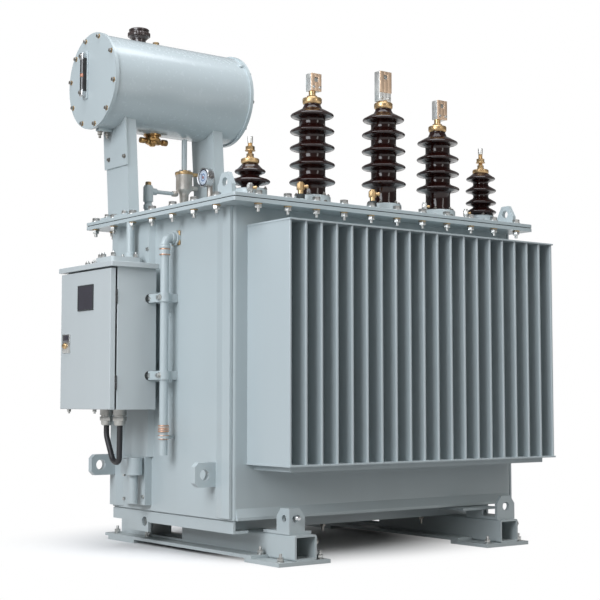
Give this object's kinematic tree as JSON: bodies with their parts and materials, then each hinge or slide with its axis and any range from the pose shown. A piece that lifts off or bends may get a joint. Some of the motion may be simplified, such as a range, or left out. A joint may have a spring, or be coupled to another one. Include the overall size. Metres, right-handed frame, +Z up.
{
  "type": "power transformer",
  "caption": "Oil-filled power transformer: finned tank on skids, ribbed porcelain bushings, oil conservator drum and a control cabinet with a hinged door.",
  "frame": {"origin": "on the ground, in the middle of the footprint's bounding box", "axes": "+X along the tank, away from the control cabinet; +Y away from the longer row of fins; +Z up"},
  "size_m": [1.565, 1.282, 1.963],
  "materials": {
    "cabinet_paint": "satin",
    "cable_rubber": "matte",
    "cap_plastic": "satin",
    "fitting_steel": "satin",
    "gasket_rubber": "matte",
    "gauge_glass": "glossy",
    "gland_metal": "satin",
    "porcelain": "glossy",
    "tank_paint": "satin",
    "terminal_metal": "satin",
    "window_plastic": "glossy"
  },
  "bodies": {
    "transformer": {"base_beams": "tank_paint", "base_end_beams": "tank_paint", "base_end_plates": "tank_paint", "bushing_clamps": "tank_paint", "cabinet_body": "cabinet_paint", "cabinet_brackets": "cabinet_paint", "cabinet_roof": "cabinet_paint", "cable_glands": "gland_metal", "conduit": "tank_paint", "conservator_drum": "tank_paint", "conservator_left_cover": "tank_paint", "conservator_left_leg": "tank_paint", "conservator_right_cover": "tank_paint", "conservator_right_leg": "tank_paint", "conservator_valve": "terminal_metal", "control_cable": "cable_rubber", "dial_thermometer": "fitting_steel", "drain_valve": "tank_paint", "end_wall_stiffeners": "tank_paint", "end_wall_strips": "tank_paint", "filler_cap": "cap_plastic", "fin_end_plates": "tank_paint", "fin_supports": "tank_paint", "foot_pads": "tank_paint", "front_fins": "tank_paint", "gas_relay": "fitting_steel", "hauling_lugs": "tank_paint", "hinge_pins": "fitting_steel", "jacking_plates": "tank_paint", "lid_gasket": "gasket_rubber", "lifting_lugs": "tank_paint", "oil_level_gauge": "gauge_glass", "pipe_clamps": "fitting_steel", "rear_fins": "tank_paint", "side_pipe": "fitting_steel", "skid_flanges": "tank_paint", "skid_tube_left": "tank_paint", "skid_tube_right": "tank_paint", "small_left_porcelain": "porcelain", "small_right_porcelain": "porcelain", "small_terminals": "terminal_metal", "tall_left_porcelain": "porcelain", "tall_middle_porcelain": "porcelain", "tall_right_porcelain": "porcelain", "tall_terminals": "terminal_metal", "tank_body": "tank_paint", "tank_lid": "tank_paint", "tank_lugs": "tank_paint", "tank_rim": "tank_paint", "tank_skirts": "tank_paint", "vent_plug": "terminal_metal", "vent_post": "fitting_steel"},
    "door": {"cabinet_door": "cabinet_paint", "door_latch": "fitting_steel", "door_window": "window_plastic", "hinge_sleeves": "fitting_steel"}
  },
  "joints": [
    {"name": "cabinet_door_hinge", "type": "hinge", "parent": "transformer", "child": "door", "pos_m": [-0.7445, 0.029, 0.7515], "axis": [0, 0, 1], "range_deg": [0, 110]}
  ]
}
